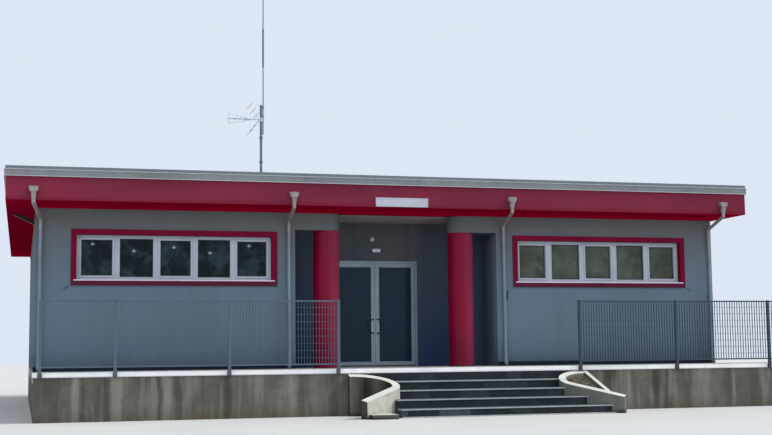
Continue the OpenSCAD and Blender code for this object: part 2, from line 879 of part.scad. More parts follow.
// Yagi with a corner reflector: cross rods on two arms that open away from the mast
module yagi_antenna() {
    rod_d = boom_t / 2;
    high = boom_l * 0.4;
    arm = boom_l * 0.3;
    root = -2 * boom_t;
    color([0.6, 0.62, 0.64])
        translate([left + mast_x, mast_y - (mast_d + boom_t) / 2, roof_z + pole_h - boom_l * 0.43]) {
            box([-boom_l + mast_d / 2, -boom_t / 2, -boom_t / 2], [boom_l, boom_t, boom_t]);
            box([-mast_d / 2, -boom_t / 2 - 6, -2 * boom_t], [mast_d, 6, 4 * boom_t]);
            box([-mast_d / 2, -boom_t / 2, boom_t / 2], [mast_d, boom_t, 1.5 * boom_t]);
            box([-mast_d / 2, -boom_t / 2, -2 * boom_t], [mast_d, boom_t, 1.5 * boom_t]);
            for (s = [-1, 1]) {
                rod([root, 0, 0], [root - arm, 0, s * high], rod_d);
                for (k = [0.3, 0.62, 0.94]) translate([root - k * arm, cross_l / 2, s * k * high])
                    rotate([90, 0, 0]) cylinder(d = rod_d, h = cross_l, $fn = 16);
                rod([root - arm / 2, 0, 0], [-boom_l + mast_d, 0, s * arm * 0.45], rod_d * 0.7);
            }
            for (k = [0.45, 0.6, 0.75]) translate([-k * boom_l, cross_l / 4, 0])
                rotate([90, 0, 0]) cylinder(d = rod_d, h = cross_l / 2, $fn = 16);
            translate([-boom_l + mast_d, 0, -arm * 0.55]) cylinder(d = rod_d, h = arm * 1.1, $fn = 16);
        }
}

floor_slab();
walkway_slab();
deck_edge();
plinth_front();
plinth_sides();
walkway_end();
plinth_back();
front_footing();
front_wall_left();
front_wall_right();
left_wall();
right_wall();
back_wall();
recess_wall_left();
recess_wall_right();
entrance_wall_left();
entrance_wall_right();
entrance_wall_over();
recess_ceiling();
columns();
lintels();
top_band();
roof_slab();
fascia();
coping();
window_surrounds();
window_frames();
window_sills();
window_glass();
door_frame();
door_hinges();
door_leaf_left();
door_leaf_right();
door_glass_left();
door_glass_right();
door_handle_left();
door_handle_right();
stair_base();
stair_treads();
wing_wall_left();
wing_wall_right();
fence_posts();
fence_panels_left();
fence_panels_right();
downpipes();
rain_hoppers();
skirting();
entrance_lights();
side_light();
mast_pole();
whip_antenna();
yagi_antenna();
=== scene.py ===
import math

import bmesh
import bpy
from mathutils import Matrix, Vector


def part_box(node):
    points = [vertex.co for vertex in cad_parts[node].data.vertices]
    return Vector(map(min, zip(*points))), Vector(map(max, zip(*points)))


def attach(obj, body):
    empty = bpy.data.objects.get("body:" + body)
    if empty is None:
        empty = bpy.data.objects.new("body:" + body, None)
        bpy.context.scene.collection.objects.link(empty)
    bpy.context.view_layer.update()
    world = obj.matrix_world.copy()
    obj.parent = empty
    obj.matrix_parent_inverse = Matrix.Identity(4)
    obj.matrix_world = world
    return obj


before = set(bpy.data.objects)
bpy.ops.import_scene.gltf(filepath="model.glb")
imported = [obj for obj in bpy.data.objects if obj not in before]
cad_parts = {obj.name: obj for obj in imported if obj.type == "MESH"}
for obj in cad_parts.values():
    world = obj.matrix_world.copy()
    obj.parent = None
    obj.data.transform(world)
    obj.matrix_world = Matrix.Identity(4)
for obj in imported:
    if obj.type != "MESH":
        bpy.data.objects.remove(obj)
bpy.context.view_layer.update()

# Camera, in the frame of the building
CAMERA_PLACE = (-8.083, -27.67, 1.333)
CAMERA_YAW = 15.772
CAMERA_PITCH = 5.905
CAMERA_ROLL = -0.578
SENSOR_WIDTH = 36.0
FOCAL_PIXELS = 1289.8
PHOTO_WIDTH = 772
CLIP_END = 500

# Sizes that the frame gives
DECK_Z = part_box("walkway_slab")[1].z
EDGE_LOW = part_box("deck_edge")[0]
SOFFIT_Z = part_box("roof_slab")[0].z
ROOF_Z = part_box("roof_slab")[1].z
FASCIA_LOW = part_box("fascia")[0]
COPING_LOW, COPING_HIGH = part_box("coping")
WALL_LOW, WALL_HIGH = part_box("back_wall")
SURROUND_LOW, SURROUND_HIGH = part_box("window_surrounds")
BODY_W = WALL_HIGH.x - WALL_LOW.x
BODY_D = WALL_HIGH.y
RECESS_HALF = -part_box("front_wall_left")[1].x

# Window sizes, as the solids have them, and the place and size of what is put on them
WINDOW_W = 4.375
SURROUND_W = 0.115
WINDOW_SHIFT = 0.165
FRAME_W = 0.065
MULLION_W = 0.115
SASH_W = 0.035
WINDOW_IN = 0.12
RUBBER_IN = 0.059
DRIP_HALF = 0.05
PANES = 5
WINDOW_FOOT = SURROUND_LOW.z + SURROUND_W
WINDOW_HEAD = SURROUND_HIGH.z - SURROUND_W

# Overlap, width and depth of the thin frames around the glass
SASH_FRAME = (0.008, 0.038, 0.014)
FIXED_BEAD = (0.006, 0.014, 0.006)
GLASS_RUBBER = (0.001, 0.009, 0.012)
DOOR_RUBBER = (0, 0.012, 0.008)
DOOR_BEAD = (0.004, 0.014, 0.004)

# Small bright painted glints of reflected light in the left front window: their X and Z
PAINTED_PANE_GLINTS = ((-6.67, 3.644), (-5.807, 3.506), (-4.961, 3.591), (-4.186, 3.48), (-3.334, 3.643))

# The coping's lip, and the height of its lower band with the lip under it
COPING_LIP = 0.01
COPING_BAND = 0.135

# Length of the coping's sheets, half a cover strap's width, and how many fit along a side
SHEET_LENGTH = 3.02
STRAP_HALF = 0.03
SIDE_STRAPS = 5

# Thickness of a door leaf, and half the width of the threshold
LEAF_T = 0.045
THRESHOLD_HALF = 0.98

# Height of one step below the first, and the lengths of tiles, tread stones and slabs
RISE = 0.177
TILE = 0.33
TREAD_LENGTH = 0.66
SLAB = 0.5

# Each downpipe's place, and how far to the side its hopper stands
HOPPERS = (
    (-BODY_W / 2 + 0.11, -0.16),
    (-RECESS_HALF - 0.155, 0),
    (RECESS_HALF + 0.155, 0),
    (BODY_W / 2 - 0.11, 0.085),
)

# The corners of the plate on the fascia, in X and Z
PLATE_LOW = (-0.67, 4.48)
PLATE_HIGH = (0.53, 4.68)

# Pale and dark bands on the plinth's front: middle, half width and strength
PLINTH_BLOOM = (
    (-7.06, 0.07, 0.3), (-6.27, 0.12, 0.42), (-5.55, 0.07, 0.3),
    (-5.28, 0.1, 0.4), (4.75, 0.16, 0.25), (6.6, 0.2, 0.2),
)
PLINTH_RUNS = (
    (-6.9, 0.05, 0.35), (-5.06, 0.06, 0.45), (-4.05, 0.06, 0.45),
    (4.35, 0.1, 0.45), (5.5, 0.08, 0.5), (5.75, 0.05, 0.4),
)

# Nose, lengths, thickness and arm of the right wing wall, as the solid has them
WING_NOSE = (2.98, -2.03)
WING_A = 0.77
WING_BACK = 0.556
WING_T = 0.15
NOSE_R = 0.3
ARM_ANGLE = 40

# How far inside the wing wall's outline the planter's earth ends, its height, fall and thickness
EARTH_EDGE = 0.6 * WING_T
EARTH_Z = 0.60
EARTH_FALL = 0.34
EARTH_T = 0.04

# Each sun's energy, spread in degrees, the side that it shines from and its colour
SUNS = {
    "soft_key": (3.4, 20, (1.0, -0.22, 0.95), (1.0, 0.97, 0.92)),
    "wide_fill": (1.5, 100, (-0.35, -1.0, 0.25), (0.93, 0.97, 1.0)),
}
SKY_STRENGTH = 0.95

# Radius of the round floor, and its middle
FLOOR_R = 140
FLOOR_MIDDLE = (0, 6, 0)

# Stretches of a noise that draw it out into upright runs, long or short
LONG_RUNS = (1, 1, 0.06)
RUNS = (1, 1, 0.1)
SHORT_RUNS = (1, 1, 0.12)


def srgb(r, g, b):
    """A paint colour from its 0 to 255 values."""
    def channel(v):
        v /= 255
        return v / 12.92 if v <= 0.04045 else ((v + 0.055) / 1.055) ** 2.4
    return (channel(r), channel(g), channel(b), 1.0)


class Finish:
    """One surface finish, put together from its shader nodes."""

    def __init__(self, name, rough, specular, metal=0.0, coat=0.0):
        self.material = bpy.data.materials.new(name)
        self.material.use_nodes = True
        self.nodes = self.material.node_tree.nodes
        self.links = self.material.node_tree.links
        self.shader = self.nodes["Principled BSDF"]
        self.shader.inputs["Roughness"].default_value = rough
        self.shader.inputs["Metallic"].default_value = metal
        self.shader.inputs["Specular IOR Level"].default_value = specular
        self.shader.inputs["Coat Weight"].default_value = coat
        self.place = self.nodes.new("ShaderNodeTexCoord").outputs["Object"]
        self.axes = self.split(self.place)
        self.bumps = None

    def split(self, vector):
        """A vector's three parts."""
        node = self.nodes.new("ShaderNodeSeparateXYZ")
        self.links.new(vector, node.inputs[0])
        return node.outputs

    def moved(self, stretch, shift):
        """The place on the object, stretched and shifted."""
        node = self.nodes.new("ShaderNodeMapping")
        node.inputs["Scale"].default_value = stretch
        node.inputs["Location"].default_value = shift
        self.links.new(self.place, node.inputs["Vector"])
        return node.outputs[0]

    def noise(self, scale, detail, stretch=(1, 1, 1), shift=(0, 0, 0), rough=0.5):
        """Cloudy noise, from 0 to 1."""
        node = self.nodes.new("ShaderNodeTexNoise")
        node.inputs["Scale"].default_value = scale
        node.inputs["Detail"].default_value = detail
        node.inputs["Roughness"].default_value = rough
        self.links.new(self.moved(stretch, shift), node.inputs["Vector"])
        return node.outputs["Fac"]

    def cells(self, scale, stretch=(1, 1, 1)):
        """Distance to the middle of the nearest of many irregular cells."""
        node = self.nodes.new("ShaderNodeTexVoronoi")
        node.inputs["Scale"].default_value = scale
        self.links.new(self.moved(stretch, (0, 0, 0)), node.inputs["Vector"])
        return node.outputs["Distance"]

    def math(self, kind, a, b=None):
        """One step of arithmetic with one or two values, each a number or a socket."""
        node = self.nodes.new("ShaderNodeMath")
        node.operation = kind
        for socket, value in zip(node.inputs, (a, b)):
            if isinstance(value, (int, float)):
                socket.default_value = value
            elif value is not None:
                self.links.new(value, socket)
        return node.outputs[0]

    def fade(self, value, start, end, low=0.0, high=1.0):
        """From low to high while the value goes from start to end."""
        node = self.nodes.new("ShaderNodeMapRange")
        node.inputs["From Min"].default_value = start
        node.inputs["From Max"].default_value = end
        node.inputs["To Min"].default_value = low
        node.inputs["To Max"].default_value = high
        self.links.new(value, node.inputs["Value"])
        return node.outputs["Result"]

    def blend(self, share, a, b, kind="MIX"):
        """From colour a to colour b by a share."""
        node = self.nodes.new("ShaderNodeMix")
        node.data_type = "RGBA"
        node.blend_type = kind
        sockets = [s for s in node.inputs if s.enabled]
        for socket, value in zip(sockets, (share, a, b)):
            if isinstance(value, (int, float, tuple)):
                socket.default_value = value
            else:
                self.links.new(value, socket)
        return [s for s in node.outputs if s.enabled][0]

    def clouds(self, scale, detail, start=0.35, end=0.65, **how):
        """A noise as a soft mask, 0 up to its start and 1 from its end."""
        return self.fade(self.noise(scale, detail, **how), start, end)

    def lay(self, body, mask, share, colour):
        """The body with a colour laid over it, where the mask is and by a share."""
        return self.blend(self.math("MULTIPLY", mask, share), body, colour)

    def wavering(self, value, scale, swing, stretch=(1, 1, 1)):
        """The value, led up and down by a noise."""
        way = self.fade(self.noise(scale, 4, stretch), 0, 1, -swing, swing)
        return self.math("ADD", value, way)

    def facing(self):
        """The surface's normal, as its three parts."""
        return self.split(self.nodes.new("ShaderNodeNewGeometry").outputs["Normal"])

    def joints(self, value, pitch, width, shift=0.0):
        """1 along narrow lines, one at every pitch, and 0 between them."""
        along = self.math("MODULO", self.math("ADD", value, 1000 * pitch + shift), pitch)
        side = self.math("ABSOLUTE", self.math("SUBTRACT", along, pitch / 2))
        return self.math("LESS_THAN", side, width / 2)

    def bands(self, value, places):
        """Soft bands, each given by its middle, half its width and its strength."""
        total = None
        for middle, half, strength in places:
            away = self.math("ABSOLUTE", self.math("SUBTRACT", value, middle))
            band = self.fade(away, 0.6 * half, 1.3 * half, strength, 0)
            total = band if total is None else self.math("MAXIMUM", total, band)
        return total

    def colour(self, value):
        """Gives the finish its colour."""
        self.links.new(value, self.shader.inputs["Base Color"])

    def roughness(self, scale, detail, low, high, start=0.3, end=0.7, stretch=(1, 1, 1)):
        """Lets the roughness wander between two values."""
        value = self.fade(self.noise(scale, detail, stretch), start, end, low, high)
        self.links.new(value, self.shader.inputs["Roughness"])

    def bump(self, scale, detail, distance, strength, stretch=(1, 1, 1)):
        """Adds fine relief from a noise."""
        node = self.nodes.new("ShaderNodeBump")
        node.inputs["Strength"].default_value = strength
        node.inputs["Distance"].default_value = distance
        self.links.new(self.noise(scale, detail, stretch), node.inputs["Height"])
        if self.bumps:
            self.links.new(self.bumps, node.inputs["Normal"])
        self.bumps = node.outputs[0]
        self.links.new(self.bumps, self.shader.inputs["Normal"])


def wall_render():
    """Grey render with faint runs and red in the window openings; painted skylight makes it bluer
    towards the foot, painted eave shade leaves it neutral grey at the top, and it is darker near
    the foot.
    """
    f = Finish("wall_render", rough=0.85, specular=0.15)
    x, _, z = f.axes
    # Painted light: bluer skylight on the lower wall, darkest at the foot, and neutral eave shade
    # towards the top
    low = f.blend(f.fade(z, DECK_Z, DECK_Z + 0.9), srgb(77, 94, 111), srgb(92, 108, 121))
    body = f.blend(f.fade(z, DECK_Z + 1.9, DECK_Z + 3.2), low, srgb(96, 94, 93))
    body = f.lay(body, f.clouds(0.55, 5), 0.35, srgb(80, 95, 106))
    body = f.lay(body, f.clouds(2.2, 5, 0.52, 0.75, stretch=LONG_RUNS), 0.22, srgb(68, 76, 84))
    # Darker towards the foot of the wall
    darker_foot = f.fade(f.wavering(z, 3, 0.12), DECK_Z + 0.1, DECK_Z + 0.42, 1, 0)
    body = f.lay(body, darker_foot, 0.45, srgb(58, 66, 74))
    side = f.math("ABSOLUTE", x)
    reveal = f.math("LESS_THAN", f.math("ABSOLUTE", f.facing()[1]), 0.5)
    reveal = f.math("MULTIPLY", reveal, f.math("GREATER_THAN", side, RECESS_HALF + 0.1))
    reveal = f.math("MULTIPLY", reveal, f.math("LESS_THAN", side, BODY_W / 2 - 0.4))
    f.colour(f.blend(reveal, body, srgb(92, 1, 34)))
    f.roughness(7, 3, 0.78, 0.92)
    f.bump(130, 3, 0.002, 0.5)
    f.bump(9, 4, 0.004, 0.35)
    return f.material


def shaded_recess_render():
    """The entrance recess's render with painted shade: darker than the outer wall, darkest and
    bluest at the foot, darker and bluer beside the door, and paler and bluer on faces turned to
    the left.
    """
    f = Finish("shaded_recess_render", rough=0.88, specular=0.12)
    x, _, z = f.axes
    # Painted shade: darker and bluer towards the foot, paler at the top
    body = f.blend(f.fade(z, DECK_Z + 0.2, DECK_Z + 3.1), srgb(50, 64, 90), srgb(100, 98, 100))
    body = f.lay(body, f.clouds(0.8, 5), 0.3, srgb(58, 70, 94))
    body = f.lay(body, f.clouds(3, 4, 0.5, 0.75, stretch=(1, 1, 0.05)), 0.3, srgb(38, 48, 68))
    # Painted shade beside the door: darker and bluer
    beside = f.fade(f.math("ABSOLUTE", x), 0.98, 1.2)
    body = f.blend(beside, body, (0.68, 0.87, 1.0, 1.0), "MULTIPLY")
    # Painted light: faces turned to the left paler and bluer
    lit_facing_left = f.fade(f.facing()[0], -0.4, -0.8)
    f.colour(f.lay(body, lit_facing_left, 0.75, srgb(80, 90, 114)))
    f.bump(130, 3, 0.002, 0.5)
    return f.material


def ceiling_paint():
    """Pale emulsion of the recess ceiling, yellowed in clouds."""
    f = Finish("ceiling_paint", rough=0.9, specular=0.1)
    f.colour(f.blend(f.clouds(1.3, 5), srgb(178, 164, 162), srgb(160, 149, 147)))
    f.bump(90, 3, 0.0015, 0.4)
    return f.material


def red_paint(name, colour, shade, rough, specular, painted_sheen=None, darker_low_band=False):
    """Red masonry paint in soft clouds: with a painted sheen on faces turned to the right and
    darker towards the foot, or darker on its band below the windows.
    """
    f = Finish(name, rough=rough, specular=specular)
    z = f.axes["Z"]
    body = f.blend(f.clouds(1.1, 5, 0.35, 0.68, stretch=(1, 1, 1.6)), colour, shade)
    if painted_sheen:
        # Painted sheen: paler and pinker on faces turned to the right
        body = f.blend(f.fade(f.facing()[0], -0.2, 0.9), body, painted_sheen)
        # Darker towards the foot
        body = f.blend(f.fade(z, DECK_Z, DECK_Z + 1.1, 0.45, 0), body, srgb(62, 6, 36))
    if darker_low_band:
        # Darker on the band below the windows
        body = f.lay(body, f.math("LESS_THAN", z, WINDOW_FOOT), 0.6, srgb(58, 34, 48))
    f.colour(f.lay(body, f.clouds(26, 3, 0.62, 0.78), 0.18, srgb(150, 80, 92)))
    f.roughness(5, 3, rough - 0.06, rough + 0.1)
    f.bump(90, 2, 0.0012, 0.4)
    return f.material


def fascia_paint():
    """Faded maroon of the fascia with rain runs, stronger at its foot and on its underside."""
    f = Finish("fascia_paint", rough=0.6, specular=0.0)
    body = f.blend(f.clouds(0.6, 6, stretch=(1, 1, 2)), srgb(119, 43, 61), srgb(105, 39, 56))
    body = f.lay(body, f.clouds(2.4, 5, 0.5, 0.78, stretch=SHORT_RUNS), 0.35, srgb(103, 55, 69))
    foot = f.fade(f.axes["Z"], FASCIA_LOW.z, FASCIA_LOW.z + 0.1, 1, 0)
    body = f.lay(body, foot, 0.5, srgb(100, 13, 32))
    f.colour(f.blend(f.fade(f.facing()[2], -0.5, -0.9), body, srgb(150, 2, 42)))
    f.roughness(6, 3, 0.5, 0.7)
    f.bump(60, 3, 0.0015, 0.4)
    return f.material


def roof_finish():
    """Red painted soffit below, grey roofing felt in strips above."""
    f = Finish("roof_finish", rough=0.8, specular=0.0)
    x, _, z = f.axes
    soffit = f.blend(f.clouds(0.9, 4, 0.35, 0.7), srgb(158, 0, 42), srgb(144, 3, 44))
    felt = f.blend(f.clouds(1.4, 6, 0.35, 0.7), srgb(120, 122, 122), srgb(96, 99, 101))
    felt = f.lay(felt, f.joints(x, 1.0, 0.03), 0.6, srgb(70, 72, 74))
    top = f.math("GREATER_THAN", z, (SOFFIT_Z + ROOF_Z) / 2)
    f.colour(f.blend(top, soffit, felt))
    f.bump(70, 3, 0.003, 0.4)
    return f.material


def coping_metal():
    """Weathered sheet metal in two bands, with streaks; the upper band is darker with painted
    shade, and its pale lips are painted highlights on the top-lit edges.
    """
    f = Finish("coping_metal", rough=0.5, metal=0.25, specular=0.5)
    z = f.axes["Z"]
    band = COPING_LOW.z + COPING_BAND
    body = f.blend(f.clouds(0.8, 5), srgb(113, 117, 120), srgb(101, 106, 109))
    body = f.lay(body, f.clouds(3.5, 5, 0.48, 0.75, stretch=RUNS), 0.45, srgb(83, 84, 89))
    # Painted shade: the upper band, above the middle lip, darker and bluer
    over = band + COPING_LIP + 0.001
    body = f.lay(body, f.math("GREATER_THAN", z, over), 0.75, srgb(82, 96, 105))
    # Painted highlights: pale lips along the top-lit edges
    above, below = f.math("GREATER_THAN", z, band - 0.001), f.math("LESS_THAN", z, over)
    foot = f.math("LESS_THAN", z, COPING_LOW.z + COPING_LIP + 0.0005)
    lips = f.math("MAXIMUM", f.math("MULTIPLY", above, below), foot)
    f.colour(f.blend(lips, body, srgb(176, 177, 178)))
    f.roughness(4, 4, 0.4, 0.62)
    f.bump(2.5, 3, 0.004, 0.3, (1, 1, 3))
    return f.material


def frame_plastic():
    """White window profile, slightly lilac, with patches of dust along its foot."""
    f = Finish("frame_plastic", rough=0.35, specular=0.5)
    body = f.blend(f.clouds(2.2, 4, 0.3, 0.7), srgb(162, 168, 177), srgb(150, 156, 168))
    low = f.fade(f.axes["Z"], WINDOW_FOOT, WINDOW_FOOT + 0.09, 1, 0)
    dust = f.math("MULTIPLY", low, f.clouds(12, 4))
    f.colour(f.lay(body, dust, 0.5, srgb(150, 146, 150)))
    f.roughness(14, 2, 0.3, 0.45)
    f.bump(40, 2, 0.0006, 0.3)
    return f.material


def sill_plate():
    """Pale painted metal sill with a pinkish cast."""
    f = Finish("sill_plate", rough=0.4, specular=0.5)
    f.colour(f.blend(f.clouds(3, 4), srgb(206, 186, 202), srgb(188, 172, 190)))
    f.roughness(9, 3, 0.32, 0.5)
    f.bump(30, 2, 0.0006, 0.3)
    return f.material


def window_pane():
    """Dark glazing with painted reflections: blotchy blue-green with small painted glints on the
    left, olive on the right.
    """
    f = Finish("window_pane", rough=0.06, specular=0.08)
    x, _, z = f.axes
    # Painted reflections: blotchy blue-green, with small bright glints
    left = f.blend(f.clouds(3.2, 7, 0.44, 0.64, rough=0.65), srgb(5, 17, 23), srgb(41, 57, 66))
    for middle, height in PAINTED_PANE_GLINTS:
        across = f.math("ABSOLUTE", f.math("MULTIPLY", f.math("SUBTRACT", x, middle), 0.7))
        away = f.math("ADD", across, f.math("ABSOLUTE", f.math("SUBTRACT", z, height)))
        left = f.blend(f.fade(away, 0.008, 0.045, 1, 0), left, srgb(160, 168, 170))
    # Painted reflections on the right: olive haze
    reflected_haze = f.clouds(2.1, 6, 0.35, 0.7, shift=(4, 0, 0))
    right = f.blend(reflected_haze, srgb(58, 62, 55), srgb(84, 88, 79))
    olive = f.clouds(4.5, 6, 0.55, 0.7, shift=(1, 2, 0), rough=0.6)
    right = f.lay(right, olive, 0.6, srgb(96, 102, 73))
    f.colour(f.blend(f.math("GREATER_THAN", x, 0), left, right))
    f.roughness(5, 3, 0.04, 0.16, 0.4, 0.8)
    f.bump(1.6, 1, 0.004, 0.15)
    return f.material


def door_pane():
    """Tinted safety glass of the entrance, with a painted reflection that makes it lighter towards
    the top.
    """
    f = Finish("door_pane", rough=0.07, specular=0.08)
    # Painted reflection: lighter towards the top, darker at the foot
    height = f.fade(f.axes["Z"], DECK_Z, DECK_Z + 2.4)
    body = f.blend(height, srgb(14, 44, 61), srgb(27, 50, 70))
    f.colour(f.lay(body, f.clouds(1.4, 5, 0.45, 0.7), 0.4, srgb(34, 50, 60)))
    f.roughness(6, 3, 0.05, 0.2, 0.4, 0.8)
    return f.material


def door_aluminium():
    """Satin grey aluminium of the door frame and leaves."""
    f = Finish("door_aluminium", rough=0.42, metal=0.35, specular=0.5)
    body = f.blend(f.clouds(1.8, 4, 0.3, 0.7), srgb(131, 143, 154), srgb(117, 129, 141))
    f.colour(f.lay(body, f.clouds(30, 3, 0.55, 0.75, stretch=RUNS), 0.2, srgb(156, 167, 175)))
    f.roughness(24, 3, 0.34, 0.52, stretch=(1, 1, 0.08))
    f.bump(180, 2, 0.0004, 0.3, (1, 1, 0.05))
    return f.material


def dark_handle():
    """Dark powder coat of the bow handles, worn brighter in patches."""
    f = Finish("dark_handle", rough=0.4, metal=0.3, specular=0.5)
    f.colour(f.lay(srgb(38, 50, 60), f.clouds(16, 4, 0.5, 0.75), 0.6, srgb(86, 96, 104)))
    f.roughness(20, 3, 0.3, 0.5)
    f.bump(120, 2, 0.0004, 0.3)
    return f.material


def stair_slate():
    """Dark slate risers in tiles, a few of them paler, most so on the lowest step."""
    f = Finish("stair_slate", rough=0.75, specular=0.2)
    x, _, z = f.axes
    body = f.blend(f.clouds(3.5, 6, 0.35, 0.7), srgb(20, 30, 36), srgb(31, 39, 45))
    tile = f.nodes.new("ShaderNodeTexWhiteNoise")
    tile.noise_dimensions = "2D"
    step = f.nodes.new("ShaderNodeCombineXYZ")
    f.links.new(f.math("FLOOR", f.math("DIVIDE", x, TILE)), step.inputs[0])
    f.links.new(f.math("FLOOR", f.math("DIVIDE", z, RISE)), step.inputs[1])
    f.links.new(step.outputs[0], tile.inputs["Vector"])
    pale = f.math("GREATER_THAN", tile.outputs["Value"], 0.8)
    lowest = f.math("MULTIPLY", f.math("LESS_THAN", z, 0.17), f.math("LESS_THAN", x, 0.9))
    body = f.lay(body, pale, 0.3, srgb(54, 61, 66))
    body = f.lay(body, lowest, f.math("MULTIPLY", pale, 0.5), srgb(71, 79, 83))
    f.colour(f.blend(f.joints(x, TILE, 0.008), body, srgb(17, 23, 27)))
    f.roughness(8, 4, 0.6, 0.82)
    f.bump(22, 5, 0.003, 0.5)
    return f.material


def tread_stone():
    """Stone treads with pale nosings, darker tops, grit and narrow joints."""
    f = Finish("tread_stone", rough=0.7, specular=0.3)
    nosing = f.blend(f.clouds(2.8, 5, 0.35, 0.7), srgb(148, 153, 152), srgb(131, 137, 138))
    body = f.blend(f.math("GREATER_THAN", f.facing()[2], 0.5), nosing, srgb(62, 69, 76))
    body = f.lay(body, f.clouds(40, 4, 0.55, 0.75), 0.3, srgb(88, 93, 97))
    f.colour(f.blend(f.joints(f.axes["X"], TREAD_LENGTH, 0.006), body, srgb(67, 72, 75)))
    f.bump(50, 4, 0.0015, 0.5)
    return f.material


def pale_edge():
    """Near-white edge of the walkway, with drip stains and painted shade along its foot."""
    f = Finish("pale_edge", rough=0.75, specular=0.3)
    body = f.blend(f.clouds(1.6, 5, 0.35, 0.7), srgb(232, 232, 230), srgb(214, 216, 218))
    body = f.lay(body, f.clouds(7, 5, 0.56, 0.78, stretch=RUNS), 0.35, srgb(168, 166, 158))
    # Painted shade along the edge's foot
    shaded_foot = f.fade(f.axes["Z"], EDGE_LOW.z + 0.004, EDGE_LOW.z + 0.03, 1, 0)
    f.colour(f.lay(body, shaded_foot, 0.5, srgb(104, 104, 102)))
    f.bump(45, 4, 0.0015, 0.4)
    return f.material


def paving():
    """Grey walkway and floor slabs, laid in squares on top and plain at the sides."""
    f = Finish("paving", rough=0.8, specular=0.25)
    x, y, _ = f.axes
    body = f.blend(f.clouds(1.5, 5, 0.35, 0.7), srgb(150, 150, 146), srgb(130, 131, 128))
    body = f.lay(body, f.clouds(60, 4, 0.55, 0.78), 0.25, srgb(98, 99, 98))
    grid = f.math("MAXIMUM", f.joints(x, SLAB, 0.008), f.joints(y, SLAB, 0.008))
    f.colour(f.lay(body, grid, f.math("GREATER_THAN", f.facing()[2], 0.5), srgb(84, 85, 84)))
    f.bump(55, 4, 0.002, 0.4)
    return f.material


def plinth_concrete():
    """Raw plinth concrete with casting joints, dark runs and pale lime bloom."""
    f = Finish("plinth_concrete", rough=0.92, specular=0.15)
    x, y, z = f.axes
    body = f.blend(f.clouds(1.1, 6, 0.35, 0.68), srgb(103, 100, 92), srgb(80, 78, 70))
    runs = f.clouds(1.9, 4, 0.5, 0.66, stretch=(1, 1, 0.07), shift=(0.35, 0, 0))
    body = f.lay(body, runs, 0.6, srgb(57, 54, 48))
    body = f.lay(body, f.clouds(3.4, 8, 0.42, 0.6, rough=0.65), 0.4, srgb(66, 64, 57))
    streaks = f.clouds(5.5, 5, 0.5, 0.68, stretch=SHORT_RUNS, shift=(2.1, 0, 0))
    body = f.lay(body, streaks, 0.35, srgb(140, 140, 134))
    along = f.wavering(x, 2.2, 0.12, (1, 1, 0.5))
    body = f.blend(f.bands(along, PLINTH_BLOOM), body, srgb(151, 148, 140))
    body = f.blend(f.bands(along, PLINTH_RUNS), body, srgb(41, 38, 32))
    casting = f.joints(f.math("ADD", x, y), 2.05, 0.03, 0.9)
    body = f.lay(body, casting, 0.2, srgb(41, 38, 34))
    foot = f.fade(f.wavering(z, 2, 0.1), 0.02, 0.3, 1, 0)
    f.colour(f.lay(body, foot, 0.4, srgb(62, 54, 39)))
    f.bump(14, 6, 0.008, 0.5)
    f.bump(95, 3, 0.002, 0.4)
    return f.material


def pale_concrete():
    """Pale concrete of the wing walls, with painted sunlight on the rims and on the left arm, and
    painted shade with stains on the left wing's inner side.
    """
    f = Finish("pale_concrete", rough=0.85, specular=0.2)
    x, _, z = f.axes
    facing = f.facing()
    body = f.blend(f.clouds(1.8, 5, 0.35, 0.68), srgb(99, 101, 94), srgb(88, 90, 83))
    body = f.lay(body, f.clouds(5, 5, 0.52, 0.74, stretch=RUNS), 0.3, srgb(73, 71, 63))
    left = f.math("LESS_THAN", x, WING_NOSE[0] - 2.5)
    sunlit = f.blend(f.clouds(6, 4, 0.4, 0.7), srgb(166, 166, 156), srgb(146, 146, 136))
    body = f.blend(f.math("MULTIPLY", left, f.fade(facing[0], 0.35, 0.6)), body, sunlit)
    # Painted shade with stains on the left wing's inner side, where its faces turn to the left
    stains = f.clouds(4, 5, 0.38, 0.66, stretch=SHORT_RUNS)
    shade_and_grime = f.blend(stains, srgb(76, 73, 63), srgb(35, 33, 28))
    body = f.blend(f.math("MULTIPLY", left, f.fade(facing[0], -0.02, -0.25)), body, shade_and_grime)
    foot = f.fade(f.wavering(z, 4, 0.04), 0.03, 0.11, 1, 0)
    body = f.lay(body, foot, 0.8, srgb(32, 31, 27))
    # Painted sunlight: the tops brighter
    rim = f.blend(f.clouds(5, 4, 0.35, 0.7), srgb(188, 190, 184), srgb(176, 178, 170))
    f.colour(f.blend(f.fade(facing[2], 0.5, 0.9), body, rim))
    f.bump(24, 5, 0.003, 0.4)
    return f.material


def fence_paint():
    """Blue-grey fence paint, paler on the left, chalky, with rust at the feet."""
    f = Finish("fence_paint", rough=0.55, specular=0.15)
    x, _, z = f.axes
    body = f.blend(f.fade(x, -1.0, 2.5), srgb(77, 91, 105), srgb(48, 61, 75))
    body = f.lay(body, f.clouds(3, 4), 0.3, srgb(58, 72, 86))
    body = f.lay(body, f.clouds(22, 4, 0.55, 0.75), 0.15, srgb(120, 130, 142))
    rust = f.fade(f.wavering(z, 30, 0.1), DECK_Z - 0.05, DECK_Z + 0.12, 1, 0)
    f.colour(f.lay(body, rust, 0.35, srgb(82, 60, 50)))
    f.roughness(18, 3, 0.42, 0.62)
    f.bump(80, 2, 0.0006, 0.4)
    return f.material


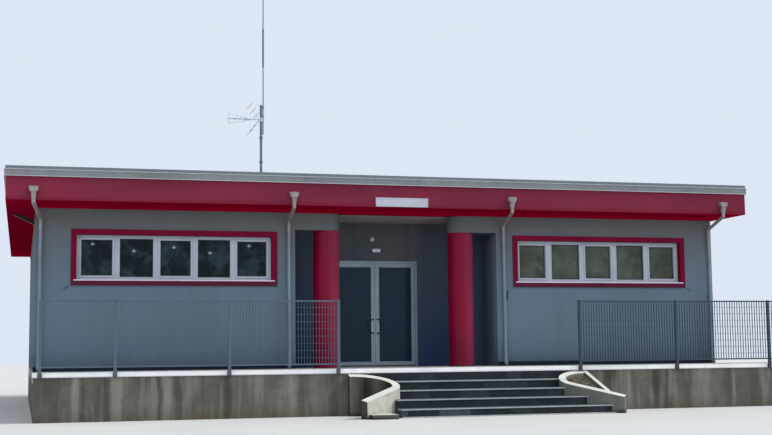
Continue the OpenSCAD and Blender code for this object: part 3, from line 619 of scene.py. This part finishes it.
def pipe_paint():
    """Grey lacquered sheet of the downpipes, warmer on the hoppers and the pipes' heads."""
    f = Finish("pipe_paint", rough=0.42, metal=0.15, specular=0.45)
    low = f.blend(f.clouds(1.9, 4), srgb(109, 122, 134), srgb(95, 108, 121))
    high = f.blend(f.clouds(7, 4), srgb(139, 133, 133), srgb(117, 109, 114))
    body = f.blend(f.fade(f.axes["Z"], SOFFIT_Z - 0.75, SOFFIT_Z - 0.35), low, high)
    f.colour(f.lay(body, f.clouds(9, 4, 0.52, 0.75, stretch=(1, 1, 0.08)), 0.3, srgb(80, 88, 96)))
    f.roughness(12, 3, 0.36, 0.56)
    f.bump(12, 2, 0.001, 0.3)
    return f.material


def skirting_tile():
    """Dark navy skirting tiles."""
    f = Finish("skirting_tile", rough=0.6, specular=0.08)
    body = f.blend(f.clouds(5, 4), srgb(14, 24, 38), srgb(22, 31, 45))
    f.colour(f.blend(f.joints(f.axes["X"], TILE, 0.006), body, srgb(8, 12, 18)))
    f.bump(40, 3, 0.001, 0.4)
    return f.material


def lamp_cover():
    """Off-white moulded cover of the lamps."""
    f = Finish("lamp_cover", rough=0.3, specular=0.5, coat=0.3)
    f.colour(f.blend(f.clouds(14, 4, 0.35, 0.7), srgb(224, 226, 228), srgb(196, 198, 204)))
    f.bump(50, 2, 0.0005, 0.3)
    return f.material


def black_casing():
    """Black weathered casing of the small fittings, greyer in patches."""
    f = Finish("black_casing", rough=0.5, specular=0.4)
    f.colour(f.blend(f.clouds(18, 4, 0.4, 0.75), srgb(18, 20, 24), srgb(46, 50, 56)))
    f.roughness(24, 3, 0.4, 0.62)
    f.bump(60, 2, 0.0006, 0.3)
    return f.material


def mast_metal(name, dark, pale):
    """Galvanised metal of the mast or of its aerials."""
    f = Finish(name, rough=0.45, metal=0.5, specular=0.5)
    f.colour(f.blend(f.fade(f.cells(18), 0.1, 0.7), dark, pale))
    f.roughness(20, 3, 0.35, 0.6)
    f.bump(70, 2, 0.0004, 0.3)
    return f.material


def rubber_seal():
    """Black glazing rubber."""
    f = Finish("rubber_seal", rough=0.7, specular=0.3)
    f.colour(f.blend(f.clouds(20, 3, 0.4, 0.7), srgb(34, 38, 44), srgb(56, 60, 66)))
    f.bump(90, 2, 0.0004, 0.3)
    return f.material


def bare_plate():
    """Pale enamel of the plate on the fascia, with drip marks."""
    f = Finish("bare_plate", rough=0.35, specular=0.5, coat=0.2)
    body = f.blend(f.clouds(1.6, 5, 0.35, 0.7), srgb(167, 167, 177), srgb(153, 154, 165))
    f.colour(f.lay(body, f.clouds(9, 4, 0.55, 0.78, stretch=SHORT_RUNS), 0.4, srgb(140, 140, 150)))
    f.bump(6, 2, 0.001, 0.3)
    return f.material


def planter_soil():
    """Dry soil with straw-coloured bits."""
    f = Finish("planter_soil", rough=0.95, specular=0.15)
    body = f.blend(f.clouds(9, 8, 0.38, 0.64, rough=0.7), srgb(56, 52, 44), srgb(98, 90, 74))
    straw = f.fade(f.cells(38, (1, 0.3, 1)), 0.0, 0.3, 1, 0)
    f.colour(f.lay(body, straw, 0.4, srgb(124, 114, 90)))
    f.bump(30, 6, 0.02, 0.7)
    return f.material


def floor_finish():
    """Plain pale floor around the building."""
    f = Finish("pale_floor", rough=0.9, specular=0.2)
    f.colour(f.blend(f.clouds(0.5, 4, 0.3, 0.7), srgb(186, 186, 183), srgb(180, 180, 178)))
    return f.material


# Every finish by its name
FINISHES = {
    "wall": wall_render(),
    "recess": shaded_recess_render(),
    "ceiling": ceiling_paint(),
    "column": red_paint("column_paint", srgb(122, 2, 42), srgb(110, 2, 38), 0.42, 0.12,
                        painted_sheen=srgb(130, 50, 74)),
    "surround": red_paint("surround_paint", srgb(108, 1, 42), srgb(97, 1, 38), 0.5, 0.06,
                          darker_low_band=True),
    "band": red_paint("band_paint", srgb(150, 0, 38), srgb(138, 0, 36), 0.6, 0.0),
    "fascia": fascia_paint(),
    "roof": roof_finish(),
    "coping": coping_metal(),
    "frame": frame_plastic(),
    "sill": sill_plate(),
    "pane": window_pane(),
    "door_pane": door_pane(),
    "door": door_aluminium(),
    "handle": dark_handle(),
    "slate": stair_slate(),
    "tread": tread_stone(),
    "edge": pale_edge(),
    "paving": paving(),
    "plinth": plinth_concrete(),
    "wing": pale_concrete(),
    "fence": fence_paint(),
    "pipe": pipe_paint(),
    "skirting": skirting_tile(),
    "lamp": lamp_cover(),
    "casing": black_casing(),
    "mast": mast_metal("mast_metal", srgb(62, 84, 106), srgb(92, 110, 128)),
    "aerial": mast_metal("aerial_metal", srgb(140, 150, 160), srgb(182, 188, 194)),
    "seal": rubber_seal(),
    "plate": bare_plate(),
    "soil": planter_soil(),
    "floor": floor_finish(),
}

# Which finish each solid of the building wears
NODE_FINISH = {
    "wall": ["front_wall_left", "front_wall_right", "left_wall", "right_wall", "back_wall",
             "lintels"],
    "recess": ["recess_wall_left", "recess_wall_right", "entrance_wall_left",
               "entrance_wall_right", "entrance_wall_over"],
    "ceiling": ["recess_ceiling"],
    "column": ["columns"],
    "surround": ["window_surrounds"],
    "band": ["top_band"],
    "fascia": ["fascia"],
    "roof": ["roof_slab"],
    "coping": ["coping"],
    "frame": ["window_frames"],
    "sill": ["window_sills"],
    "pane": ["window_glass"],
    "door_pane": ["door_glass_left", "door_glass_right"],
    "door": ["door_frame", "door_leaf_left", "door_leaf_right", "door_hinges"],
    "handle": ["door_handle_left", "door_handle_right"],
    "slate": ["stair_base"],
    "tread": ["stair_treads"],
    "edge": ["deck_edge"],
    "paving": ["floor_slab", "walkway_slab"],
    "plinth": ["plinth_front", "plinth_sides", "plinth_back", "walkway_end", "front_footing"],
    "wing": ["wing_wall_left", "wing_wall_right"],
    "fence": ["fence_posts", "fence_panels_left", "fence_panels_right"],
    "pipe": ["downpipes", "rain_hoppers"],
    "skirting": ["skirting"],
    "lamp": ["entrance_lights"],
    "casing": ["side_light"],
    "mast": ["mast_pole", "whip_antenna"],
    "aerial": ["yagi_antenna"],
}

# Solids with curved faces, which are shaded smooth up to their sharp edges
ROUND_NODES = [
    "columns", "recess_wall_left", "recess_wall_right", "downpipes", "mast_pole", "whip_antenna",
    "yagi_antenna", "door_handle_left", "door_handle_right", "wing_wall_left", "wing_wall_right",
    "entrance_lights",
]
SHARP_ANGLE = 35


def dress_nodes():
    """Gives the building's solids their finishes and their smooth shading."""
    for finish, names in NODE_FINISH.items():
        for name in names:
            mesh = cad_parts[name].data
            mesh.materials.clear()
            mesh.materials.append(FINISHES[finish])
    for name in ROUND_NODES:
        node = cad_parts[name]
        node.data.polygons.foreach_set("use_smooth", [True] * len(node.data.polygons))
        weld = node.modifiers.new("weld", "WELD")
        weld.merge_threshold = 0.0001
        split = node.modifiers.new("edges", "EDGE_SPLIT")
        split.split_angle = math.radians(SHARP_ANGLE)


def add_object(name, data):
    """A new object of the scene."""
    made = bpy.data.objects.new(name, data)
    bpy.context.scene.collection.objects.link(made)
    return made


def add_mesh(name, bm, finish):
    """A new mesh object from its bmesh, with its finish."""
    mesh = bpy.data.meshes.new(name)
    bm.to_mesh(mesh)
    bm.free()
    mesh.materials.append(FINISHES[finish])
    return add_object(name, mesh)


def finish_piece(name, bm, finish, body="building", bevel=0.0):
    """Makes one piece from its bmesh, dresses it and lets it ride on its body."""
    bmesh.ops.recalc_face_normals(bm, faces=bm.faces)
    piece = add_mesh(name, bm, finish)
    if bevel:
        round_edges = piece.modifiers.new("round_edges", "BEVEL")
        round_edges.width = bevel
        round_edges.segments = 2
        round_edges.limit_method = "ANGLE"
    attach(piece, body)


def add_block(bm, low, high, place=Matrix()):
    """A box between two corners."""
    low, high = Vector(low), Vector(high)
    size = Matrix.Diagonal((*(high - low), 1))
    bmesh.ops.create_cube(bm, size=1, matrix=place @ Matrix.Translation((low + high) / 2) @ size)


def add_rod(bm, start, end, radius, sides, place=Matrix(), radius_end=None):
    """A closed rod between two points, or a cone that ends in another radius."""
    start, end = Vector(start), Vector(end)
    along = end - start
    turn = along.to_track_quat("Z", "Y").to_matrix().to_4x4()
    middle = Matrix.Translation((start + end) / 2)
    bmesh.ops.create_cone(bm, cap_ends=True, segments=sides, radius1=radius,
                          radius2=radius if radius_end is None else radius_end,
                          depth=along.length, matrix=place @ middle @ turn)


def add_frame(bm, y, low, high, overlap, rim, depth, place=Matrix()):
    """A frame between two corners in X and Z, grown by its overlap, that stands out from y."""
    (left, foot), (right, head) = low, high
    left, foot, right, head = left - overlap, foot - overlap, right + overlap, head + overlap
    middle = Vector(((left + right) / 2, y, (foot + head) / 2))
    size = Matrix.Diagonal((right - left, head - foot, 1, 1))
    lie = Matrix.Rotation(math.radians(90), 4, "X")
    made = bmesh.ops.create_grid(bm, x_segments=1, y_segments=1, size=0.5,
                                 matrix=place @ Matrix.Translation(middle) @ lie @ size)
    face = made["verts"][0].link_faces[0]
    rims = bmesh.ops.inset_region(bm, faces=[face], thickness=rim, use_even_offset=True,
                                  use_boundary=True)["faces"]
    bmesh.ops.delete(bm, geom=[face], context="FACES_ONLY")
    thicken(bm, rims, place.to_3x3() @ Vector((0, -depth, 0)))


def thicken(bm, faces, way):
    """Turns a sheet of faces into a closed solid."""
    grown = bmesh.ops.extrude_face_region(bm, geom=faces, use_keep_orig=True)
    verts = [g for g in grown["geom"] if isinstance(g, bmesh.types.BMVert)]
    bmesh.ops.translate(bm, verts=verts, vec=way)


def window_places():
    """One placing matrix for each window, seen from outside with the sill along X."""
    middle = (BODY_W / 2 + RECESS_HALF) / 2 - WINDOW_SHIFT
    front = [Matrix.Translation((s * middle, 0, 0)) for s in (-1, 1)]
    back = Matrix.Translation((0, BODY_D, 0)) @ Matrix.Rotation(math.pi, 4, "Z")
    return front + [back @ m for m in front]


def window_trim():
    """Raised sash frames, glazing rubbers and drip bars on every window."""
    sashes, rubbers = bmesh.new(), bmesh.new()
    width = WINDOW_W - 2 * SURROUND_W
    pane = (width - 2 * FRAME_W - (PANES - 1) * MULLION_W) / PANES
    foot, head = WINDOW_FOOT + FRAME_W, WINDOW_HEAD - FRAME_W
    for place in window_places():
        for i in range(PANES):
            start = -width / 2 + FRAME_W + i * (pane + MULLION_W)
            end = start + pane
            opens = i % 2 == 0
            add_frame(sashes, WINDOW_IN, (start, foot), (end, head),
                      *(SASH_FRAME if opens else FIXED_BEAD), place)
            if opens:
                middle = (start + end) / 2
                add_block(sashes, (middle - DRIP_HALF, WINDOW_IN - 0.02, foot - 0.002),
                          (middle + DRIP_HALF, WINDOW_IN - 0.004, foot + 0.012), place)
            inset = SASH_W if opens else 0.0
            add_frame(rubbers, WINDOW_IN + RUBBER_IN, (start + inset, foot + inset),
                      (end - inset, head - inset), *GLASS_RUBBER, place)
        add_block(sashes, (-width / 2, WINDOW_IN - 0.012, WINDOW_HEAD - 0.016),
                  (width / 2, WINDOW_IN, WINDOW_HEAD), place)
    finish_piece("window_sashes", sashes, "frame", bevel=0.003)
    finish_piece("glazing_rubbers", rubbers, "seal")


def coping_straps():
    """Cover straps over the joints between the coping's sheets."""
    bm = bmesh.new()
    gap = 0.001
    band = COPING_LOW.z + COPING_BAND
    # Foot, top, and the strap's outer and inner faces, counted inwards from the coping's lip
    lower = (COPING_LOW.z + COPING_LIP + gap, band - gap, 0.006, 0.022)
    upper = (band + COPING_LIP + gap, COPING_HIGH.z, 0.021, 0.035)
    count = int((COPING_HIGH.x - COPING_LOW.x) / SHEET_LENGTH)
    for i in range(1, count + 1):
        x = COPING_LOW.x + i * SHEET_LENGTH - 0.2
        for edge, inwards in ((COPING_LOW.y, 1), (COPING_HIGH.y, -1)):
            for foot, top, outer, inner in (lower, upper):
                ys = sorted((edge + inwards * inner, edge + inwards * outer))
                add_block(bm, (x - STRAP_HALF, ys[0], foot), (x + STRAP_HALF, ys[1], top))
    foot, top, outer, inner = lower
    for i in range(1, SIDE_STRAPS + 1):
        y = i * SHEET_LENGTH - 0.9
        for edge, inwards in ((COPING_LOW.x, 1), (COPING_HIGH.x, -1)):
            xs = sorted((edge + inwards * inner, edge + inwards * outer))
            add_block(bm, (xs[0], y - STRAP_HALF, foot), (xs[1], y + STRAP_HALF, top))
    finish_piece("coping_straps", bm, "coping", bevel=0.002)


def fence_details():
    """Cross wires through the bars, caps on the posts and their foot plates with bolts."""
    wires, caps = bmesh.new(), bmesh.new()
    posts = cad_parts["fence_posts"].data
    low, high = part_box("fence_posts")
    y = (low.y + high.y) / 2
    half = (high.y - low.y) / 2
    xs = sorted({round(v.co.x, 3) for v in posts.vertices})
    centres = [(a + b) / 2 for a, b in zip(xs[::2], xs[1::2])]
    foot = DECK_Z + 0.09
    rows = 9
    pitch = (high.z - foot) / rows
    wire_y, wire_r = y - 0.009, 0.003
    for side in (-1, 1):
        group = [x for x in centres if side * x > 0]
        for a, b in zip(group, group[1:]):
            for k in range(1, rows):
                z = foot + k * pitch
                add_rod(wires, (a + half, wire_y, z), (b - half, wire_y, z), wire_r, 6)
    cap_h = 0.012
    cap_r, cap_top_r = half * 1.15 * 1.414, half * 0.7
    face = EDGE_LOW.y
    plate_half, plate_y = 0.044, face - 0.006
    plate_foot, plate_top = low.z + 0.006, low.z + 0.09
    bolt_x, bolt_r, bolt_z = 0.036, 0.005, low.z + 0.048
    for x in centres:
        here = Matrix.Translation((x, y, 0))
        square = here @ Matrix.Rotation(math.pi / 4, 4, "Z") @ here.inverted()
        add_rod(caps, (x, y, high.z), (x, y, high.z + cap_h), cap_r, 4, square, cap_top_r)
        add_block(caps, (x - plate_half, plate_y, plate_foot), (x + plate_half, face, plate_top))
        for bolt in (x - bolt_x, x + bolt_x):
            add_rod(caps, (bolt, face - 0.012, bolt_z), (bolt, face - 0.005, bolt_z), bolt_r, 6)
    finish_piece("fence_wires", wires, "fence")
    finish_piece("post_caps", caps, "fence", bevel=0.001)


def name_plate():
    """The plain plate on the fascia, with a raised rim and four studs."""
    bm = bmesh.new()
    (left, foot), (right, top) = PLATE_LOW, PLATE_HIGH
    wall = FASCIA_LOW.y
    back, front = wall - 0.008, wall - 0.022
    rim_w, rim_out = 0.014, 0.004
    add_block(bm, (left, front, foot), (right, back, top))
    add_frame(bm, front, PLATE_LOW, PLATE_HIGH, 0, rim_w, rim_out)
    for x in (left + 0.05, right - 0.05):
        for z in (foot + 0.035, top - 0.035):
            add_rod(bm, (x, wall, z), (x, front - rim_out, z), 0.009, 12)
    finish_piece("name_plate", bm, "plate", bevel=0.0015)


def hopper_lips():
    """Rims and collars on the rain hoppers, and sockets where the pipes are joined."""
    bm = bmesh.new()
    low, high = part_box("rain_hoppers")
    front, back, top = low.y, high.y, high.z
    depth = (front + back) / 2
    rim_half, rim_foot, rim_top = 0.092, top - 0.014, top + 0.004
    collar_half, collar_foot = 0.084, top - 0.1
    pipe_y, socket_h = -0.08, 0.05
    for x, side in HOPPERS:
        mouth = x + side
        add_block(bm, (mouth - rim_half, front - 0.006, rim_foot),
                  (mouth + rim_half, back, rim_top))
        add_block(bm, (mouth - collar_half, front - 0.002, collar_foot),
                  (mouth + collar_half, back, rim_foot))
        add_rod(bm, (mouth, depth, SOFFIT_Z + 0.02), (mouth, depth, SOFFIT_Z + 0.062), 0.047, 20)
        for z in (DECK_Z + 0.62, DECK_Z + 1.9, DECK_Z + 2.75):
            add_rod(bm, (x, pipe_y, z), (x, pipe_y, z + socket_h), 0.046, 20)
    finish_piece("hopper_lips", bm, "pipe", bevel=0.002)


def door_details():
    """Glazing beads, a lock plate and the sweep along the foot of each leaf."""
    for side, hand in ((-1, "left"), (1, "right")):
        body = hand + "_leaf"
        low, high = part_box("door_glass_" + hand)
        leaf_low, leaf_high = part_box("door_leaf_" + hand)
        face = leaf_high.y - LEAF_T
        rubbers, metal = bmesh.new(), bmesh.new()
        add_frame(rubbers, low.y, (low.x, low.z), (high.x, high.z), *DOOR_RUBBER)
        add_frame(metal, face, (low.x, low.z), (high.x, high.z), *DOOR_BEAD)
        inner = leaf_high.x if side < 0 else leaf_low.x
        lock, key_z = inner + side * 0.044, DECK_Z + 1.26
        outer = face - 0.006
        add_block(metal, (lock - 0.018, outer, DECK_Z + 1.22), (lock + 0.018, face, DECK_Z + 1.36))
        add_rod(metal, (lock, face - 0.014, key_z), (lock, face - 0.005, key_z), 0.011, 16)
        add_block(rubbers, (leaf_low.x + 0.01, outer, leaf_low.z),
                  (leaf_high.x - 0.01, face, leaf_low.z + 0.02))
        finish_piece("glass_seal_" + hand, rubbers, "seal", body)
        finish_piece("lock_plate_" + hand, metal, "door", body, bevel=0.0012)


def entrance_details():
    """Ribs on the emergency light, a ring on the lamp, and the ribbed threshold."""
    trim = bmesh.new()
    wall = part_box("entrance_lights")[1].y
    ribs = 5
    rib_half, rib_foot, rib_head = 0.004, 3.685, 3.745
    for k in range(ribs):
        x = -0.05 + k * 0.035
        add_block(trim, (x - rib_half, wall - 0.058, rib_foot),
                  (x + rib_half, wall - 0.054, rib_head))
    lamp_x, lamp_z = -0.07, 3.98
    add_rod(trim, (lamp_x, wall, lamp_z), (lamp_x, wall - 0.01, lamp_z), 0.05, 28)
    finish_piece("lamp_trim", trim, "lamp", bevel=0.001)
    sill = bmesh.new()
    sill_top, rib_top = DECK_Z + 0.004, DECK_Z + 0.006
    half = THRESHOLD_HALF
    add_block(sill, (-half, wall - 0.02, DECK_Z), (half, wall + 0.05, sill_top))
    for k in range(ribs):
        y = wall - 0.012 + k * 0.012
        add_block(sill, (-half, y, sill_top), (half, y + 0.005, rib_top))
    finish_piece("door_threshold", sill, "door")


def wall_hooks():
    """Small dark hooks by the feet of the front windows and a clip beside a downpipe."""
    bm = bmesh.new()
    out, radius = -0.05, 0.008
    for x, turn in ((-7.18, -1), (7.17, 1)):
        bends = [(x, 0, 2.735), (x, out, 2.735),
                 (x + turn * 0.06, out, 2.71), (x + turn * 0.075, out, 2.66)]
        for start, end in zip(bends, bends[1:]):
            add_rod(bm, start, end, radius, 10)
    add_block(bm, (2.58, -0.026, 2.48), (2.604, 0, 2.68))
    finish_piece("wall_hooks", bm, "casing", bevel=0.002)


def in_planter(x, y):
    """Whether a point, counted from the wing wall's nose, lies in the planter."""
    if y >= 0:
        across = (WING_A - x) / (WING_A - EARTH_EDGE)
        return across ** 2 + (y / (WING_BACK - EARTH_EDGE)) ** 2 < 1
    arm = (x - 0.22) * math.tan(math.radians(ARM_ANGLE))
    in_nose = y > -0.2 - arm and math.hypot(x - NOSE_R, y) < NOSE_R - EARTH_EDGE
    return in_nose or (x > NOSE_R and y > -0.14 - arm)


def planter_earth():
    """Earth in the right planter, lumpy and falling towards the street like its walls."""
    bm = bmesh.new()
    low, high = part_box("wing_wall_right")
    nose_x, nose_y = WING_NOSE
    middle = (nose_x + WING_A / 2, (low.y + high.y) / 2, 0)
    made = bmesh.ops.create_grid(bm, x_segments=30, y_segments=44, size=0.5)
    bmesh.ops.scale(bm, vec=(WING_A, high.y - low.y, 1), verts=made["verts"])
    bmesh.ops.translate(bm, vec=middle, verts=made["verts"])
    for v in bm.verts:
        x, y, _ = v.co
        lump = 0.02 * math.sin(x * 23) * math.cos(y * 17) + 0.015 * math.sin(x * 41 + y * 29)
        v.co.z = EARTH_Z + (y - nose_y) * EARTH_FALL + lump
    outside = [v for v in bm.verts if not in_planter(v.co.x - nose_x, v.co.y - nose_y)]
    bmesh.ops.delete(bm, geom=outside, context="VERTS")
    thicken(bm, bm.faces[:], (0, 0, -EARTH_T))
    finish_piece("planter_earth", bm, "soil")


def set_camera():
    """The camera at the photo's viewpoint."""
    camera = add_object("camera", bpy.data.cameras.new("camera"))
    camera.data.sensor_width = SENSOR_WIDTH
    camera.data.lens = FOCAL_PIXELS / PHOTO_WIDTH * SENSOR_WIDTH
    camera.data.clip_end = CLIP_END
    turn = (Matrix.Rotation(math.radians(-CAMERA_YAW), 4, "Z")
            @ Matrix.Rotation(math.radians(90 + CAMERA_PITCH), 4, "X")
            @ Matrix.Rotation(math.radians(CAMERA_ROLL), 4, "Z"))
    camera.matrix_world = Matrix.Translation(CAMERA_PLACE) @ turn
    bpy.context.scene.camera = camera


def set_floor():
    """Plain pale floor under the building."""
    bm = bmesh.new()
    bmesh.ops.create_circle(bm, cap_ends=True, segments=96, radius=FLOOR_R,
                            matrix=Matrix.Translation(FLOOR_MIDDLE))
    floor = add_mesh("floor", bm, "floor")


def set_light():
    """Soft daylight all round, a soft key light from the right and a wide fill from the front."""
    bpy.context.scene.view_settings.view_transform = "Standard"
    world = bpy.data.worlds.new("soft_daylight")
    bpy.context.scene.world = world
    world.use_nodes = True
    sky = world.node_tree.nodes["Background"]
    sky.inputs["Color"].default_value = srgb(226, 236, 250)
    sky.inputs["Strength"].default_value = SKY_STRENGTH
    for name, (energy, spread, side, colour) in SUNS.items():
        sun = bpy.data.lights.new(name, "SUN")
        sun.energy = energy
        sun.angle = math.radians(spread)
        sun.color = colour
        lamp = add_object(name, sun)
        lamp.rotation_euler = Vector(side).to_track_quat("Z", "Y").to_euler()


set_camera()
set_floor()
set_light()
dress_nodes()
window_trim()
coping_straps()
fence_details()
name_plate()
hopper_lips()
door_details()
entrance_details()
wall_hooks()
planter_earth()
